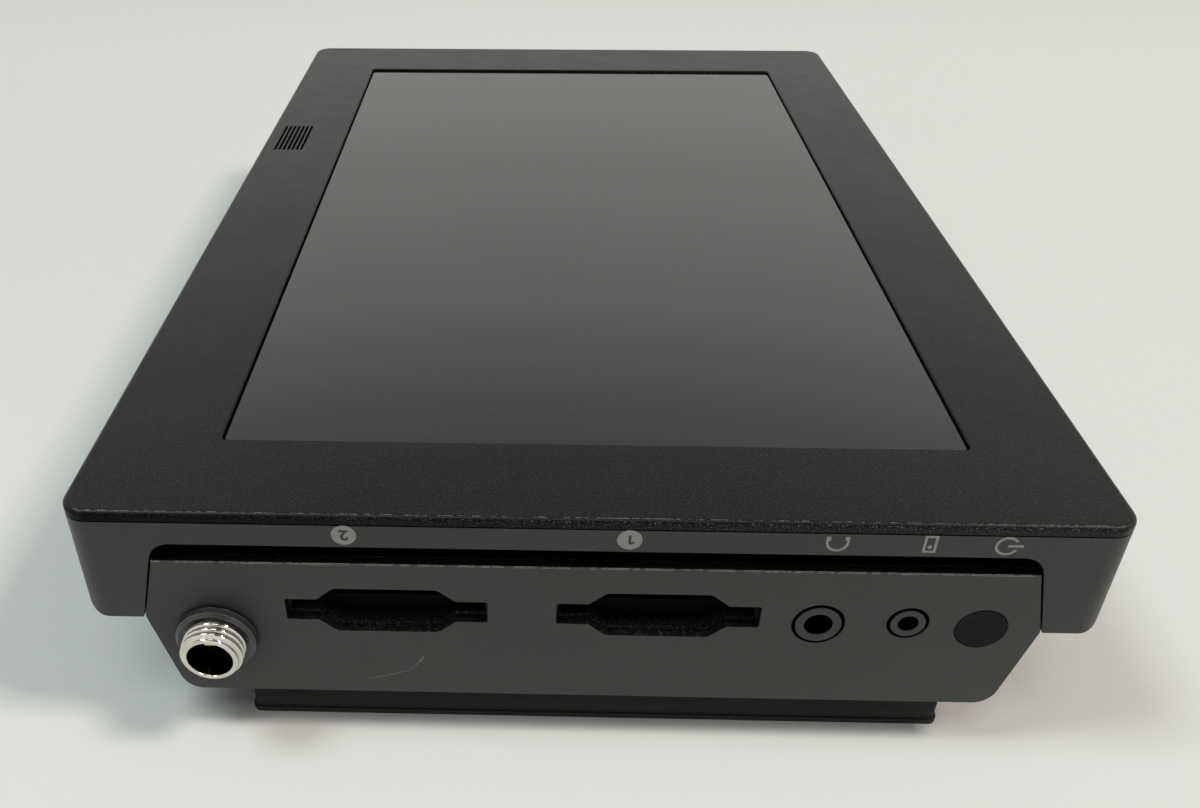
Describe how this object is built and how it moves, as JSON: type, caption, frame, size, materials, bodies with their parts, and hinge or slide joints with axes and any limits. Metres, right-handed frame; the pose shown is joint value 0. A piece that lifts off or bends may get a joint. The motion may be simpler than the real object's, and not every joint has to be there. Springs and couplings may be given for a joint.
{
  "type": "recording monitor",
  "caption": "Flat touch-screen video recorder and monitor with card slots, sockets and a power button on its edge and slide-on battery bays on its back.",
  "frame": {"origin": "on the rear resting face, under the middle of the body", "axes": "+Z out of the screen, +X towards the monitor's own top edge, +Y towards the video side, -Y the side with the card slots"},
  "size_m": [0.1284, 0.1998, 0.0385],
  "materials": {
    "bezel": "fine-textured charcoal rubberised plastic",
    "housing": "smooth satin charcoal plastic",
    "panel": "satin charcoal plastic with a faint grain",
    "rear": "satin near-black plastic",
    "glass": "glossy cover glass over a dark screen",
    "screen": "dark panel of liquid crystal",
    "light_guide": "white light guide in a frame",
    "sheet": "zinc-plated sheet steel",
    "cable": "amber polyimide film",
    "black_plastic": "black moulded plastic",
    "rubber": "dark rubbery cap",
    "nickel": "nickel plate",
    "gold": "gold-plated contact",
    "board": "green solder mask",
    "chip": "black chip package",
    "sink": "dark anodised aluminium",
    "steel": "steel",
    "black_steel": "black oxide steel",
    "white_plastic": "white insulator",
    "cone": "black speaker"
  },
  "bodies": {
    "chassis": {"backlight": "light_guide", "battery_deck": "rear", "board_screws": "steel", "card_guide_1": "black_plastic", "card_guide_2": "black_plastic", "card_reader_1": "nickel", "card_reader_2": "nickel", "case_screws": "black_steel", "clock_cell": "steel", "connector_panel": "panel", "contact_blades": "gold", "contact_block_1": "black_plastic", "contact_block_2": "black_plastic", "deck_screws": "black_steel", "display_bracket": "sheet", "display_ribbon": "cable", "fan_frame": "black_plastic", "fan_screws": "steel", "front_bezel": "bezel", "hdmi_socket_1": "nickel", "hdmi_socket_2": "nickel", "headphone_jack": "panel", "heat_sink": "sink", "housing_frame": "housing", "latch_guide_1": "black_plastic", "latch_guide_2": "black_plastic", "latch_spring_1": "steel", "latch_spring_2": "steel", "lcd_panel": "screen", "main_board": "board", "port_panel": "panel", "power_barrel": "nickel", "power_leaf": "gold", "power_nut": "black_plastic", "power_pin": "gold", "power_socket": "black_plastic", "power_switch": "black_plastic", "processor": "chip", "rear_cover": "rear", "remote_jack": "panel", "ribbon_socket": "white_plastic", "screen_glass": "glass", "sdi_cores": "white_plastic", "sdi_nuts": "nickel", "sdi_socket_1": "nickel", "sdi_socket_2": "nickel", "socket_tongues": "black_plastic", "speaker": "cone", "tab_screws": "steel", "tripod_inserts": "steel", "usb_socket": "nickel", "vent_grille_1": "rear", "vent_grille_2": "rear"},
    "power_button": {"power_button": "rubber", "switch_plunger": "white_plastic"},
    "battery_latch_1": {"battery_latch_1": "black_plastic"},
    "battery_latch_2": {"battery_latch_2": "black_plastic"},
    "cooling_fan": {"fan_rotor": "black_plastic"}
  },
  "joints": [
    {"name": "power_button_press", "type": "slide", "parent": "chassis", "child": "power_button", "axis": [0, 1, 0], "range_m": [0, 0.0006], "stiffness_N_per_m": 1500},
    {"name": "battery_latch_1_press", "type": "slide", "parent": "chassis", "child": "battery_latch_1", "axis": [0, 0, 1], "range_m": [0, 0.0032], "stiffness_N_per_m": 600, "deforming": ["latch_spring_1"]},
    {"name": "battery_latch_2_press", "type": "slide", "parent": "chassis", "child": "battery_latch_2", "axis": [0, 0, 1], "range_m": [0, 0.0032], "stiffness_N_per_m": 600, "deforming": ["latch_spring_2"]},
    {"name": "fan_spin", "type": "hinge", "parent": "chassis", "child": "cooling_fan", "pos_m": [0, 0.062, 0.0136], "axis": [0, 0, 1], "continuous": true}
  ]
}
